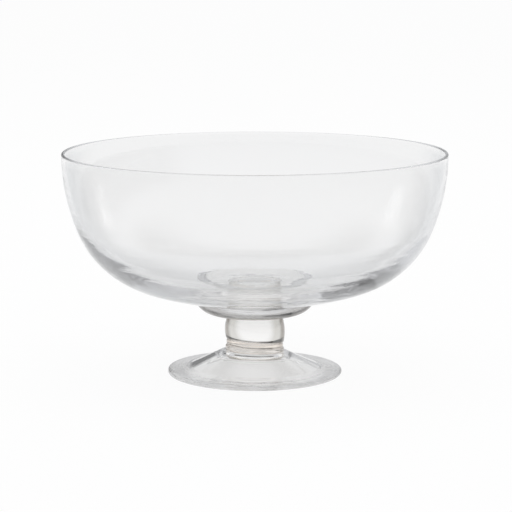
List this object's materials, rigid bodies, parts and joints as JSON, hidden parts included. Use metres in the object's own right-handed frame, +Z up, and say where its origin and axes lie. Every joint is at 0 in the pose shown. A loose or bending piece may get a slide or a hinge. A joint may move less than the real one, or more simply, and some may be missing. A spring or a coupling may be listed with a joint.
{
  "type": "trifle bowl",
  "caption": "Footed trifle bowl in clear glass: a deep, wide-mouthed bowl with a melted lip, on a rounded pad, a short barrel knop with collars, and a spreading domed foot.",
  "frame": {"origin": "centre of the ring that the foot stands on, at table height", "axes": "+Z up along the axis that all the pieces are turned about; X and Y are level, and the object is the same all round"},
  "size_m": [0.25, 0.25, 0.146],
  "materials": {
    "bowl_glass": "clear, fire-polished blown glass, colourless with a faint cool edge",
    "stem_glass": "clear solid glass, fire-polished, with faint tooling rings and a faint warm cast where it is thick",
    "foot_glass": "clear spun glass, fire-polished, slightly uneven towards its rim"
  },
  "bodies": {
    "root": {"bowl": "bowl_glass", "pad": "stem_glass", "knop": "stem_glass", "upper_collar": "stem_glass", "lower_collar": "stem_glass", "foot": "foot_glass"}
  },
  "joints": []
}
